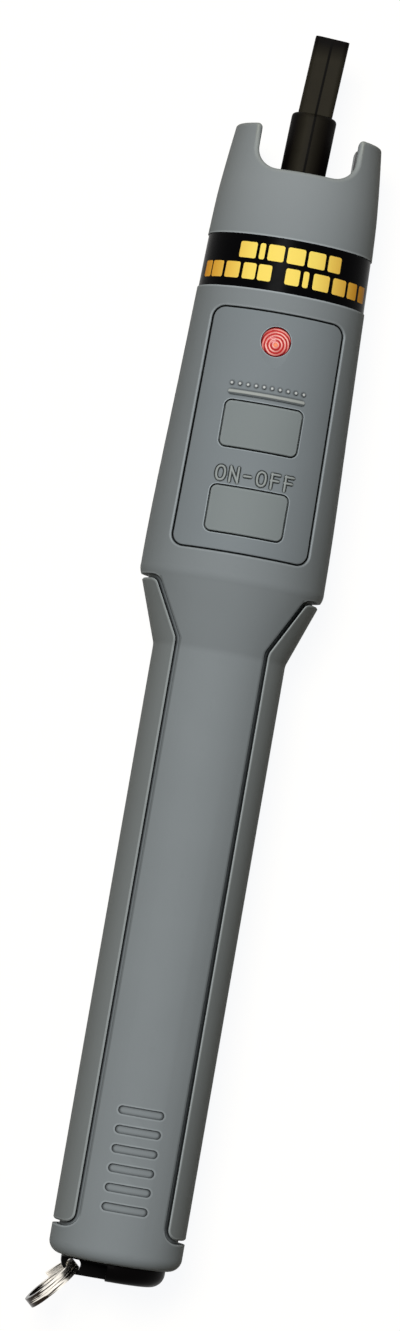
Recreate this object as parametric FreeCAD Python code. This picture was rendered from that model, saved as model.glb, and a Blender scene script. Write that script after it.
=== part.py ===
"""Visual fault locator: a torch-shaped fibre test light with two AA cells in its handle.

The body runs along +Y from its base to a two-pronged fork round the fibre port, and lies on its
back with the keys facing +Z. Sizes are in millimetres. Stations are distances along the axis from
the base's end plane; the finished pieces are moved at the end so that the origin is the centre of
the fibre port's mouth.
"""
import FreeCAD, Part
import os
from math import cos, radians, sin, sqrt, tan

V = FreeCAD.Vector
X_AXIS, Y_AXIS, Z_AXIS = V(1, 0, 0), V(0, 1, 0), V(0, 0, 1)

# ---- cells: they set the handle's length and width ----------------------------------------------
CELL_R = 7.25
CELL_LENGTH = 50.5
NUB_R = 2.75
NUB_H = 1.2
CELL_GAP = 0.5           # radial, round the cells
SPRING_Y = 11.0          # where the spring meets the rear cell
CONTACT_Y = SPRING_Y + 2 * CELL_LENGTH

# ---- walls and fits -----------------------------------------------------------------------------
SLEEVE_WALL = 2.6        # soft grey sleeve
HANDLE_WALL = 2.1        # hard black shell round the cells
SHELL_WALL = 1.7         # the shell in the head
LINER_WALL = 1.2         # the shell in the fork
ASSEMBLY_GAP = 0.05      # between pieces that are pushed together and stay
SLIDE_GAP = 0.1          # radial, between pieces that slide in each other
SOFT_GAP = 0.3           # round soft pieces that move

# ---- body outline: radii, and the lengths between its stations ----------------------------------
HANDLE_R = CELL_R + CELL_GAP + HANDLE_WALL + ASSEMBLY_GAP + SLEEVE_WALL
BASE_ROUND = 2.5         # rounding of the base's outer edge
NECK_ABOVE_CELLS = 2.7
NECK_Y = CONTACT_Y + NECK_ABOVE_CELLS    # crease where the handle starts to flare
NECK_ROUND = 3.0
FLARE_R = 17.0          # widest radius of the flare, under the head's lip
FLARE_LENGTH = 12.5
LIP_Y = NECK_Y + FLARE_LENGTH
HEAD_R = 17.35           # widest radius of the head
LIP_LENGTH = 2.0         # from the lip's lower edge to the head's widest place
HEAD_Y = LIP_Y + LIP_LENGTH
LIP_BULGE = 0.12         # roundness of the lip
MIDDLE_R = 16.62         # radius at the middle of the head
MIDDLE_Y = HEAD_Y + 28.8
LABEL_R = 15.72          # radius at the middle of the label
SHOULDER_R = 15.2        # where the nose starts to draw in
TIP_R = 13.75            # radius at the prongs' tips
TIP_DRAW = 0.12          # how fast the radius shrinks at the tips
RIM_ROUND = 0.6          # rounding of the prongs' rims

# ---- key panel ----------------------------------------------------------------------------------
PANEL_ABOVE_LIP = 5.55
PANEL_LENGTH = 45.45
PANEL_FOOT_Y = LIP_Y + PANEL_ABOVE_LIP
PANEL_TOP_Y = PANEL_FOOT_Y + PANEL_LENGTH
PANEL_TOP_W = 24.4
PANEL_FOOT_W = 25.6
PANEL_CORNER = 2.3
PANEL_T = 1.5
PANEL_GAP = 0.25
PANEL_EDGE = 0.3         # rounding of the panel's edge and of the frame round it

# ---- keys ---------------------------------------------------------------------------------------
KEY_W = 14.3
KEY_H = 8.5
KEY_CORNER = 1.1
KEY_RISE = 0.4           # how far a key stands proud of the panel
KEY_EDGE = 0.35
KEY_FLANGE = 1.0         # width and thickness of the flange under the panel
KEY_TRAVEL = 0.8
KEY_PITCH = 15.9
POWER_Y = PANEL_FOOT_Y + 7.85
MODE_Y = POWER_Y + KEY_PITCH
POST_R = 2.0

# ---- raised marks on the panel ------------------------------------------------------------------
BAR_Y = MODE_Y + 5.9
BAR_W = 14.3
BAR_H = 0.95
MARK_RISE = 0.35
DOT_Y = BAR_Y + 1.6
DOT_R = 0.36
DOT_PITCH = 1.5
DOT_COUNT = 10

# ---- indicator lamp -----------------------------------------------------------------------------
LED_Y = PANEL_TOP_Y - 5.5
LED_R = 2.7
LED_LENGTH = 8.6
LED_DOME = 0.7           # height of its domed face
LED_RISE = 0.1           # the dome's top over the head's skin
LED_HOLE_GAP = 0.12
LED_FLANGE_R = 3.1
LED_FLANGE_T = 1.0
LED_PITCH = 2.54
LEAD_R = 0.25
DISH_R = 4.1             # shallow dish round the lamp
DISH_DEEP = 0.35

# ---- label --------------------------------------------------------------------------------------
LABEL_Y = PANEL_TOP_Y + 8.7      # middle of the label
LABEL_H = 10.0
LABEL_T = 0.25
LABEL_SUNK = 0.2

# ---- nose and fork ------------------------------------------------------------------------------
SHOULDER_Y = LABEL_Y + 12.1
NOSE_LENGTH = 14.1       # from the shoulder to the tips
TIP_Y = SHOULDER_Y + NOSE_LENGTH
FORK_W = 18.2            # width of the U cut between the prongs
FORK_DEPTH = 8.4
FORK_Y = TIP_Y - FORK_DEPTH
FORK_CORNER = 4.0
MOUTH_ROUND = 0.9        # rounding of the prongs' inner tip corners
LINER_BACK = 0.1         # how far the black liner's edge stands behind the grey one
FLOOR_BELOW_FORK = 3.8
FLOOR_Y = FORK_Y - FLOOR_BELOW_FORK      # outer face of the nose wall
NOSE_WALL = 2.4
PORT_BELOW_TIPS = 1.1
PORT_Y = TIP_Y - PORT_BELOW_TIPS         # mouth of the port

# ---- side grips ---------------------------------------------------------------------------------
GRIP_IN = 7.95           # half the width of the plain strip between the grips
GRIP_BEND_Y = NECK_Y + 1.5
GRIP_TOP_X = 13.75
GRIP_FOOT_Y = 5.4
GRIP_TOP_CORNER = 2.3
GRIP_BEND_ROUND = 2.0
GRIP_FOOT_CORNER = 2.8
GRIP_T = 1.3
GRIP_GAP = 0.8           # width of the groove round a grip
GRIP_EDGE = 0.3

# ---- plain grip slots low on the front ----------------------------------------------------------
SLOT_Y = 19.5            # middle of the row
SLOT_W = 8.6
SLOT_H = 1.6
SLOT_PITCH = 3.6
SLOT_COUNT = 6
SLOT_DEEP = 0.6

# ---- contacts -----------------------------------------------------------------------------------
CONTACT_T = 0.4
FRONT_CONTACT_R = 6.5
STRIP_W = 4.0
STRIP_T = 0.3
TAIL_W = 2.5
BULKHEAD = 2.0

# ---- circuit board ------------------------------------------------------------------------------
BOARD_W = 20.0
BOARD_FOOT_Y = LIP_Y + 0.8
BOARD_TOP_Y = PANEL_TOP_Y - 1.2
BOARD_T = 1.6
BOARD_Z = 4.4            # height of its component side above the axis
SWITCH_SIDE = 6.0
SWITCH_H = 3.5
PLUNGER_R = 1.75
PLUNGER_H = 1.5
PLUNGER_DEEP = 1.0       # length of the plunger inside the switch
CHIP_LENGTH = 4.9
CHIP_W = 3.9
CHIP_H = 1.5

# ---- laser and port -----------------------------------------------------------------------------
HOUSING_R = 5.5
HOUSING_LENGTH = 16.35
LENS_DEPTH = 8.0         # lens below the housing's rear end
DIODE_R = 2.8
DIODE_FLANGE = 1.2
DIODE_CAN_R = 2.3
DIODE_CAN_H = 3.0
PIN_R = 0.225
PIN_LENGTH = 3.0
PIN_CIRCLE_R = 1.27
LENS_R = 2.4
LENS_T = 2.0
LENS_BULGE = 0.45
BEAM_R = 0.8
STOP_R = 1.1             # hole past the ledge that stops the ferrule
NECK_R = 4.0             # adapter's neck through the nose wall
COLLAR_R = 4.8
COLLAR_T = 1.1
BARREL_R = 2.9
FERRULE_R = 1.26         # bore for a 2.5 mm ferrule
FERRULE_WALL = 0.35
FERRULE_LENGTH = 9.0
FERRULE_SLIT = 0.4

# ---- dust cap -----------------------------------------------------------------------------------
CAP_R = 4.25
CAP_BORE_GAP = 0.35
CAP_SHOULDER_Y = PORT_Y + 5.25
CAP_SHOULDER = 0.8
CAP_CLEAR = 0.4          # over the adapter's collar
TAB_W = 6.4
TAB_T = 5.2
TAB_LENGTH = 14.6
TAB_TOP_Y = CAP_SHOULDER_Y + TAB_LENGTH
TAB_EDGE = 0.9
SEAM_W = 0.3             # moulding line down the cap
SEAM_RISE = 0.12
CAP_LEAN = 2.0           # degrees towards +X
TAB_LEAN = 1.2           # degrees more in the tab

# ---- end cap and ring ---------------------------------------------------------------------------
END_R = HANDLE_R - BASE_ROUND - 0.2
END_H = 3.4
END_ROUND = 2.7
END_SEAT = 0.1           # gap under the shell's end
STEP_X = -1.2            # left of this, only the thin lug and the rim over it are left
END_RIM_T = 0.2
LUG_T = 3.0
LUG_HOLE_X = -7.3
LUG_HOLE_DEPTH = 1.65    # hole's centre below the base's end plane
LUG_HOLE_R = 1.35
SPIGOT_LENGTH = 4.6
SEAL_Y = 2.0
SEAL_R = 0.6             # the O-ring's section
SPRING_R = 4.2
SPRING_WIRE_R = 0.35
SPRING_TURNS = 4
RING_R = 5.8             # outside of the split ring
RING_BAND = 0.95         # radial width of its wire
RING_WIRE_T = 0.95       # thickness of one turn
RING_PITCH = 1.05
RING_ANGLE = 228.0       # direction it hangs in, degrees from +X
RING_TILT = -4.5
RING_ENDS = -90.0        # where its wire ends, round from the ring's free end
RING_REST = 0.11         # how far its wire lies from the hole's middle

# ---- screws -------------------------------------------------------------------------------------
BOSS_R = 2.2
REAR_BOSS_X = 6.5
REAR_BOSS_Y = NECK_Y + 4.8
FRONT_BOSS_X = 9.3
FRONT_BOSS_Y = FLOOR_Y - 7.9
SCREW_R = 1.0
SCREW_HEAD_R = 1.9
SCREW_HEAD_H = 1.4
REAR_HEAD_Z = -6.2       # underside of the rear pair's heads
FRONT_HEAD_Z = -4.6
SCREW_BITE = 5.0         # length of thread in the front shell

# ---- values worked out from those above ---------------------------------------------------------
BIG = 60.0
SHELL_DEPTH = SLEEVE_WALL + ASSEMBLY_GAP
CAVITY_DEPTH = SHELL_DEPTH + SHELL_WALL
BATTERY_R = CELL_R + CELL_GAP
BULKHEAD_Y = CONTACT_Y + CONTACT_T
CAVITY_Y = BULKHEAD_Y + BULKHEAD
NOSE_Y = FLOOR_Y - NOSE_WALL
HOUSING_END = NOSE_Y - COLLAR_T - ASSEMBLY_GAP
HOUSING_Y = HOUSING_END - HOUSING_LENGTH
LENS_Y = HOUSING_Y + LENS_DEPTH
LABEL_DEPTH = LABEL_SUNK + LABEL_T
FLANGE_TOP = PANEL_T + SOFT_GAP
BOARD_UNDER = BOARD_Z - BOARD_T


# ---- helpers ------------------------------------------------------------------------------------
def cylinder(r, length, base, along=Y_AXIS):
    return Part.makeCylinder(r, length, base, along)


def block(x0, x1, y0, y1, z0, z1):
    return Part.makeBox(x1 - x0, y1 - y0, z1 - z0, V(x0, y0, z0))


def revolve(points):
    """Turn a closed outline of (radius, station) points about the long axis."""
    wire = Part.makePolygon([V(r, y, 0) for r, y in points + points[:1]])
    return Part.Face(wire).revolve(V(), Y_AXIS, 360)


def rounded_corner(before, here, after, r):
    """Start, middle and end of the arc that rounds the corner at here."""
    back, on = (before - here).normalize(), (after - here).normalize()
    half = back.getAngle(on) / 2
    reach = r / tan(half)
    return here + back * reach, here + (back + on).normalize() * (r / sin(half) - r), here + on * reach


def head_curve(depth):
    """The head's long easy curve, from the lip to the prongs' tips, moved inwards by depth."""
    stations = [(HEAD_R, HEAD_Y), (MIDDLE_R, MIDDLE_Y), (LABEL_R, LABEL_Y), (SHOULDER_R, SHOULDER_Y),
                (TIP_R, TIP_Y)]
    curve = Part.BSplineCurve()
    curve.interpolate([V(r - depth, y, 0) for r, y in stations],
                      InitialTangent=V(0, 1, 0), FinalTangent=V(-TIP_DRAW, 1, 0), Scale=True)
    return curve


def outline(depth):
    """The body's side line, moved inwards by depth, from below the base to above the tips."""
    below, above = V(HANDLE_R - depth, -BIG, 0), V(TIP_R - depth, TIP_Y + BIG, 0)
    neck, flare = V(HANDLE_R - depth, NECK_Y, 0), V(FLARE_R - depth, LIP_Y, 0)
    head, tip = V(HEAD_R - depth, HEAD_Y, 0), V(TIP_R - depth, TIP_Y, 0)
    bend = rounded_corner(below, neck, flare, NECK_ROUND)
    bulge = (flare + head) * 0.5 + V(1, -1, 0) * LIP_BULGE
    return [Part.makeLine(below, bend[0]), Part.Arc(*bend).toShape(), Part.makeLine(bend[2], flare),
            Part.Arc(flare, bulge, head).toShape(), head_curve(depth).toShape(), Part.makeLine(tip, above)]


def radius_at(y):
    """The body's radius at a station."""
    across = Part.makeLine(V(0, y, 0), V(BIG, y, 0))
    return across.distToShape(Part.Wire(outline(0)))[1][0][0].x


def body(depth, y0=-BIG, y1=TIP_Y + BIG):
    """The body's outline moved inwards by depth, as a solid between two stations."""
    side = outline(depth)
    start, end = side[0].Vertexes[0].Point, side[-1].Vertexes[1].Point
    close = Part.makePolygon([end, V(0, end.y, 0), V(0, start.y, 0), start])
    face = Part.Face(Part.Wire(side + close.Edges)).rotated(V(), Y_AXIS, 90)      # the seam lies underneath
    return face.revolve(V(), Y_AXIS, 360).common(block(-BIG, BIG, y0, y1, -BIG, BIG))


def plan(corners):
    """Closed outline in the X-Y plane from (x, y, radius) corners, each rounded by an arc."""
    points = [V(x, y, 0) for x, y, _ in corners]
    arcs = [rounded_corner(points[i - 1], points[i], points[(i + 1) % len(points)], corners[i][2])
            for i in range(len(points))]
    edges = []
    for i, (start, middle, end) in enumerate(arcs):
        if corners[i][2]:
            edges.append(Part.Arc(start, middle, end).toShape())
        edges.append(Part.makeLine(end, arcs[(i + 1) % len(arcs)][0]))
    return Part.Face(Part.Wire(edges))


def prism(face, z0, z1):
    return face.translated(V(0, 0, z0)).extrude(V(0, 0, z1 - z0))


def rounded_box_plan(w, h, r, y):
    x, y0, y1 = w / 2, y - h / 2, y + h / 2
    return plan([(-x, y0, r), (x, y0, r), (x, y1, r), (-x, y1, r)])


def mirrored_x(shape):
    return shape.mirror(V(), X_AXIS)


def edges_near(shape, test):
    return [e for e in shape.Edges if test(e)]


def skin_edges(shape, rise, y0, y1):
    """The edges that lie on the body's outline, moved out by rise, between two stations."""
    def on_skin(edge):
        for share in (0.1, 0.5, 0.9):
            span = edge.LastParameter - edge.FirstParameter
            p = edge.valueAt(edge.FirstParameter + share * span)
            if not y0 <= p.y <= y1 or abs(sqrt(p.x ** 2 + p.z ** 2) - radius_at(p.y) - rise) > 0.01:
                return False
        return True
    return edges_near(shape, on_skin)


def write(name, shape):
    """Move a finished piece so that the port's mouth is the origin, and save it."""
    if shape.ShapeType == "Compound" and len(shape.Solids) == 1:
        shape = shape.Solids[0]
    shape.translated(V(0, -PORT_Y, 0)).exportStep(f"parts/{name}.step")


# ---- outlines that several pieces share ---------------------------------------------------------
def panel_plan(inset):
    top, foot = PANEL_TOP_W / 2 - inset, PANEL_FOOT_W / 2 - inset
    y0, y1 = PANEL_FOOT_Y + inset, PANEL_TOP_Y - inset
    r = PANEL_CORNER - inset
    return plan([(-foot, y0, r), (foot, y0, r), (top, y1, r), (-top, y1, r)])


def grip_plan(inset):
    """Right-hand grip's outline from in front, open past the body's side."""
    slope = (GRIP_TOP_X - GRIP_IN) / (LIP_Y - GRIP_BEND_Y)
    across = inset * sqrt(1 + slope * slope)        # sideways shift of the slanted edge
    y0, y1 = GRIP_FOOT_Y + inset, LIP_Y - inset
    x_in = GRIP_IN + inset
    bend = GRIP_BEND_Y + (inset - across) / slope
    x_top = GRIP_TOP_X + across - inset * slope
    return plan([(x_in, y0, GRIP_FOOT_CORNER - inset), (BIG, y0, 0), (BIG, y1, 0),
                 (x_top, y1, GRIP_TOP_CORNER - inset), (x_in, bend, GRIP_BEND_ROUND + inset)])


def fork_plan(inset):
    """The U between the prongs, with all that lies past their tips."""
    half = FORK_W / 2 - inset
    return plan([(-half, FORK_Y - inset, FORK_CORNER), (half, FORK_Y - inset, FORK_CORNER),
                 (half, TIP_Y, MOUTH_ROUND), (BIG, TIP_Y, 0), (BIG, TIP_Y + BIG, 0), (-BIG, TIP_Y + BIG, 0),
                 (-BIG, TIP_Y, 0), (-half, TIP_Y, MOUTH_ROUND)])


def key_plan(y, grow=0.0):
    return rounded_box_plan(KEY_W + 2 * grow, KEY_H + 2 * grow, KEY_CORNER + grow, y)


# ---- soft grey sleeve ---------------------------------------------------------------------------
def outer_sleeve():
    skin = body(0, 0, TIP_Y + RIM_ROUND)
    skin = skin.makeFillet(BASE_ROUND, edges_near(skin, lambda e: e.BoundBox.YMax < 0.01))
    sleeve = skin.cut(body(SLEEVE_WALL)).cut(prism(fork_plan(0), -BIG, BIG))
    sleeve = sleeve.makeFillet(RIM_ROUND, skin_edges(sleeve, 0, FORK_Y - 1, TIP_Y + 1))
    sleeve = sleeve.cut(prism(panel_plan(0), 0, BIG).cut(body(PANEL_T)))
    sleeve = sleeve.makeFillet(PANEL_EDGE, skin_edges(sleeve, 0, PANEL_FOOT_Y - 1, PANEL_TOP_Y + 1))
    recess = body(-1, LABEL_Y - LABEL_H / 2, LABEL_Y + LABEL_H / 2)
    sleeve = sleeve.cut(recess.cut(body(LABEL_DEPTH)))
    for y in (MODE_Y, POWER_Y):
        sleeve = sleeve.cut(prism(key_plan(y, KEY_FLANGE + SOFT_GAP), 0, BIG))
    sleeve = sleeve.cut(cylinder(LED_R + LED_HOLE_GAP, BIG, V(0, LED_Y, 0), Z_AXIS))
    pocket = prism(grip_plan(0), -BIG, BIG).cut(body(GRIP_T))
    sleeve = sleeve.cut(pocket).cut(mirrored_x(pocket))
    slot_floor = body(SLOT_DEEP)
    for i in range(SLOT_COUNT):
        y = SLOT_Y + (i - (SLOT_COUNT - 1) / 2) * SLOT_PITCH
        slot = prism(rounded_box_plan(SLOT_W, SLOT_H, SLOT_H / 2 - 0.01, y), 0, BIG)
        sleeve = sleeve.cut(slot.cut(slot_floor))
    return sleeve


def side_grip():
    grip = body(0).cut(body(GRIP_T)).common(prism(grip_plan(GRIP_GAP), -BIG, BIG))
    rim = [e for e in skin_edges(grip, 0, 0, LIP_Y)
           if e.BoundBox.YLength > 0.01 or abs(e.BoundBox.YMin - NECK_Y) > NECK_ROUND]
    return grip.makeChamfer(GRIP_EDGE, rim)


def label_band():
    y0, y1 = LABEL_Y - LABEL_H / 2, LABEL_Y + LABEL_H / 2
    y0, y1 = y0 + ASSEMBLY_GAP, y1 - ASSEMBLY_GAP
    return body(LABEL_SUNK, y0, y1).cut(body(LABEL_DEPTH))


# ---- key panel and keys -------------------------------------------------------------------------
def keypad_panel():
    panel = body(0).cut(body(PANEL_T)).common(prism(panel_plan(PANEL_GAP), 0, BIG))
    panel = panel.makeFillet(PANEL_EDGE, skin_edges(panel, 0, PANEL_FOOT_Y, PANEL_TOP_Y))
    raised = body(-MARK_RISE).cut(body(PANEL_T / 2))
    panel = panel.fuse(raised.common(prism(rounded_box_plan(BAR_W, BAR_H, BAR_H / 2 - 0.01, BAR_Y), 0, BIG)))
    for i in range(DOT_COUNT):
        x = (i - (DOT_COUNT - 1) / 2) * DOT_PITCH
        panel = panel.fuse(raised.common(cylinder(DOT_R, BIG, V(x, DOT_Y, 0), Z_AXIS)))
    for y in (MODE_Y, POWER_Y):
        panel = panel.cut(prism(key_plan(y, SOFT_GAP), 0, BIG))
    panel = panel.cut(cylinder(LED_R + LED_HOLE_GAP, BIG, V(0, LED_Y, 0), Z_AXIS))
    ball_r = (DISH_R ** 2 + DISH_DEEP ** 2) / (2 * DISH_DEEP)
    return panel.cut(Part.makeSphere(ball_r, V(0, LED_Y, radius_at(LED_Y) + ball_r - DISH_DEEP)))


def key(y):
    cap = body(-KEY_RISE).cut(body(FLANGE_TOP + KEY_FLANGE)).common(prism(key_plan(y), 0, BIG))
    cap = cap.makeFillet(KEY_EDGE, skin_edges(cap, KEY_RISE, y - KEY_H, y + KEY_H))
    flange = body(FLANGE_TOP).cut(body(FLANGE_TOP + KEY_FLANGE))
    flange = flange.common(prism(key_plan(y, KEY_FLANGE), 0, BIG))
    foot = BOARD_Z + SWITCH_H + PLUNGER_H
    post = cylinder(POST_R, radius_at(y) - FLANGE_TOP - KEY_FLANGE / 2 - foot, V(0, y, foot), Z_AXIS)
    return cap.fuse(flange).fuse(post).removeSplitter()


def switch_body(y):
    half = SWITCH_SIDE / 2
    housing = block(-half, half, y - half, y + half, BOARD_Z, BOARD_Z + SWITCH_H)
    deep = PLUNGER_DEEP + KEY_TRAVEL + SLIDE_GAP
    well = cylinder(PLUNGER_R + SLIDE_GAP, deep, V(0, y, BOARD_Z + SWITCH_H - deep), Z_AXIS)
    return housing.cut(well)


def switch_plunger(y):
    return cylinder(PLUNGER_R, PLUNGER_DEEP + PLUNGER_H, V(0, y, BOARD_Z + SWITCH_H - PLUNGER_DEEP), Z_AXIS)


def indicator_led():
    top = radius_at(LED_Y) + LED_RISE
    foot = top - LED_LENGTH
    ball_r = (LED_R ** 2 + LED_DOME ** 2) / (2 * LED_DOME)
    lamp = cylinder(LED_R, LED_LENGTH, V(0, LED_Y, foot), Z_AXIS)
    lamp = lamp.common(Part.makeSphere(ball_r, V(0, LED_Y, top - ball_r)))
    lamp = lamp.fuse(cylinder(LED_FLANGE_R, LED_FLANGE_T, V(0, LED_Y, foot), Z_AXIS))
    for side in (-1, 1):
        lead = cylinder(LEAD_R, foot - BOARD_Z, V(0, LED_Y + side * LED_PITCH / 2, BOARD_Z), Z_AXIS)
        lamp = lamp.fuse(lead)
    return lamp.removeSplitter()


# ---- hard black shell ---------------------------------------------------------------------------
def screw_places():
    return [(side * x, y, z) for x, y, z in ((REAR_BOSS_X, REAR_BOSS_Y, REAR_HEAD_Z),
                                             (FRONT_BOSS_X, FRONT_BOSS_Y, FRONT_HEAD_Z)) for side in (-1, 1)]


def shell():
    core = body(SHELL_DEPTH, 0, TIP_Y - RIM_ROUND)
    hollow = body(CAVITY_DEPTH, CAVITY_Y, NOSE_Y)
    hollow = hollow.fuse(body(SHELL_DEPTH + LINER_WALL, FLOOR_Y, TIP_Y + BIG))
    hollow = hollow.fuse(cylinder(BATTERY_R, BULKHEAD_Y + BIG, V(0, -BIG, 0)))
    hollow = hollow.fuse(cylinder(NECK_R + ASSEMBLY_GAP, NOSE_WALL + 2, V(0, NOSE_Y - 1, 0)))
    case = core.cut(hollow)
    for x, y, _ in screw_places():
        case = case.fuse(cylinder(BOSS_R, 2 * BIG, V(x, y, -BIG), Z_AXIS).common(core))
    for x, y, z in screw_places():
        case = case.cut(cylinder(SCREW_R, SCREW_BITE - z, V(x, y, z), Z_AXIS))
        case = case.cut(cylinder(SCREW_HEAD_R + ASSEMBLY_GAP, BIG, V(x, y, z), V(0, 0, -1)))
    case = case.cut(prism(fork_plan(-LINER_BACK), -BIG, BIG))
    for y in (MODE_Y, POWER_Y):
        case = case.cut(prism(key_plan(y, KEY_FLANGE + SOFT_GAP), 0, BIG))
    case = case.cut(cylinder(LED_R + LED_HOLE_GAP, BIG, V(0, LED_Y, 0), Z_AXIS))
    strip_floor = BATTERY_R + 2 * ASSEMBLY_GAP + STRIP_T
    half = STRIP_W / 2 + ASSEMBLY_GAP
    case = case.cut(block(-half, half, -BIG, REAR_BOSS_Y, -strip_floor, 0))
    half = TAIL_W / 2 + ASSEMBLY_GAP
    return case.cut(block(-half, half, BULKHEAD_Y - 1, CAVITY_Y + 1, BOARD_UNDER - CONTACT_T - ASSEMBLY_GAP,
                          BOARD_UNDER + ASSEMBLY_GAP))


def shell_screws():
    screws = []
    for x, y, z in screw_places():
        shank = cylinder(SCREW_R, SCREW_BITE - z, V(x, y, z), Z_AXIS)
        head = cylinder(SCREW_HEAD_R, SCREW_HEAD_H, V(x, y, z), V(0, 0, -1))
        screws.append(shank.fuse(head).removeSplitter())
    return Part.Compound(screws)


# ---- cells and contacts -------------------------------------------------------------------------
def cell(y):
    can_length = CELL_LENGTH - NUB_H
    can = cylinder(CELL_R, can_length, V(0, y, 0))
    can = can.makeFillet(0.5, edges_near(can, lambda e: e.BoundBox.YLength < 0.01))
    return can.fuse(cylinder(NUB_R, NUB_H, V(0, y + can_length, 0)))


def front_contact():
    plate = cylinder(FRONT_CONTACT_R, CONTACT_T, V(0, CONTACT_Y, 0))
    tail = block(-TAIL_W / 2, TAIL_W / 2, CONTACT_Y, BOARD_FOOT_Y + 4, BOARD_UNDER - CONTACT_T, BOARD_UNDER)
    return plate.fuse(tail).removeSplitter()


def contact_strip():
    z_top = -BATTERY_R - ASSEMBLY_GAP
    half = STRIP_W / 2
    end = BOARD_FOOT_Y + 6
    foot_y = SPIGOT_LENGTH + CONTACT_T + ASSEMBLY_GAP
    strip = block(-half, half, foot_y, end, z_top - STRIP_T, z_top)
    tab = block(-half, half, foot_y, foot_y + STRIP_T, z_top - STRIP_T, -CELL_R + CELL_GAP)
    riser = block(-half, half, end, end + STRIP_T, z_top - STRIP_T, BOARD_UNDER)
    return strip.fuse(tab).fuse(riser).removeSplitter()


def circuit_board():
    return block(-BOARD_W / 2, BOARD_W / 2, BOARD_FOOT_Y, BOARD_TOP_Y, BOARD_UNDER, BOARD_Z)


def driver_chip():
    middle = (MODE_Y + POWER_Y) / 2
    return block(-CHIP_W / 2, CHIP_W / 2, middle - CHIP_LENGTH / 2, middle + CHIP_LENGTH / 2,
                 BOARD_Z, BOARD_Z + CHIP_H)


# ---- laser and port -----------------------------------------------------------------------------
def laser_diode():
    diode = cylinder(DIODE_R, DIODE_FLANGE, V(0, HOUSING_Y, 0))
    diode = diode.fuse(cylinder(DIODE_CAN_R, DIODE_FLANGE + DIODE_CAN_H, V(0, HOUSING_Y, 0)))
    for i in range(3):
        angle = radians(90 + 120 * i)
        foot = V(PIN_CIRCLE_R * cos(angle), HOUSING_Y - PIN_LENGTH, PIN_CIRCLE_R * sin(angle))
        diode = diode.fuse(cylinder(PIN_R, PIN_LENGTH, foot))
    return diode.removeSplitter()


def focus_lens():
    """Biconvex lens, turned from two arcs."""
    ball_r = (LENS_R ** 2 + LENS_BULGE ** 2) / (2 * LENS_BULGE)
    sag = ball_r - sqrt(ball_r ** 2 - (LENS_R / 2) ** 2)
    back, front = V(0, LENS_Y, 0), V(0, LENS_Y + LENS_T, 0)
    rim_back, rim_front = V(LENS_R, back.y + LENS_BULGE, 0), V(LENS_R, front.y - LENS_BULGE, 0)
    rear_face = Part.Arc(back, V(LENS_R / 2, back.y + sag, 0), rim_back).toShape()
    front_face = Part.Arc(rim_front, V(LENS_R / 2, front.y - sag, 0), front).toShape()
    side = [rear_face, Part.makeLine(rim_back, rim_front), front_face, Part.makeLine(front, back)]
    return Part.Face(Part.Wire(side)).revolve(V(), Y_AXIS, 360)


def laser_housing():
    bore = DIODE_CAN_R + ASSEMBLY_GAP
    outline = [(DIODE_R + ASSEMBLY_GAP, HOUSING_Y), (HOUSING_R, HOUSING_Y), (HOUSING_R, HOUSING_END),
               (BEAM_R, HOUSING_END), (BEAM_R, LENS_Y + LENS_T + 1), (LENS_R, LENS_Y + LENS_T + 1),
               (LENS_R, LENS_Y), (bore, LENS_Y), (bore, HOUSING_Y + DIODE_FLANGE),
               (DIODE_R + ASSEMBLY_GAP, HOUSING_Y + DIODE_FLANGE)]
    return revolve(outline)


def port_adapter():
    seat = FERRULE_R + FERRULE_WALL
    stop = PORT_Y - FERRULE_LENGTH
    rear = NOSE_Y - COLLAR_T
    outline = [(STOP_R, rear), (HOUSING_R, rear), (HOUSING_R, NOSE_Y), (NECK_R, NOSE_Y), (NECK_R, FLOOR_Y),
               (COLLAR_R, FLOOR_Y), (COLLAR_R, FLOOR_Y + COLLAR_T), (BARREL_R, FLOOR_Y + COLLAR_T),
               (BARREL_R, PORT_Y), (seat, PORT_Y), (seat, stop), (STOP_R, stop)]
    return revolve(outline)


def ferrule_sleeve():
    y0 = PORT_Y - FERRULE_LENGTH
    tube = cylinder(FERRULE_R + FERRULE_WALL, FERRULE_LENGTH, V(0, y0, 0))
    tube = tube.cut(cylinder(FERRULE_R, FERRULE_LENGTH, V(0, y0, 0)))
    half = FERRULE_SLIT / 2
    return tube.cut(block(-half, half, y0, PORT_Y, -BIG, 0))


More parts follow.
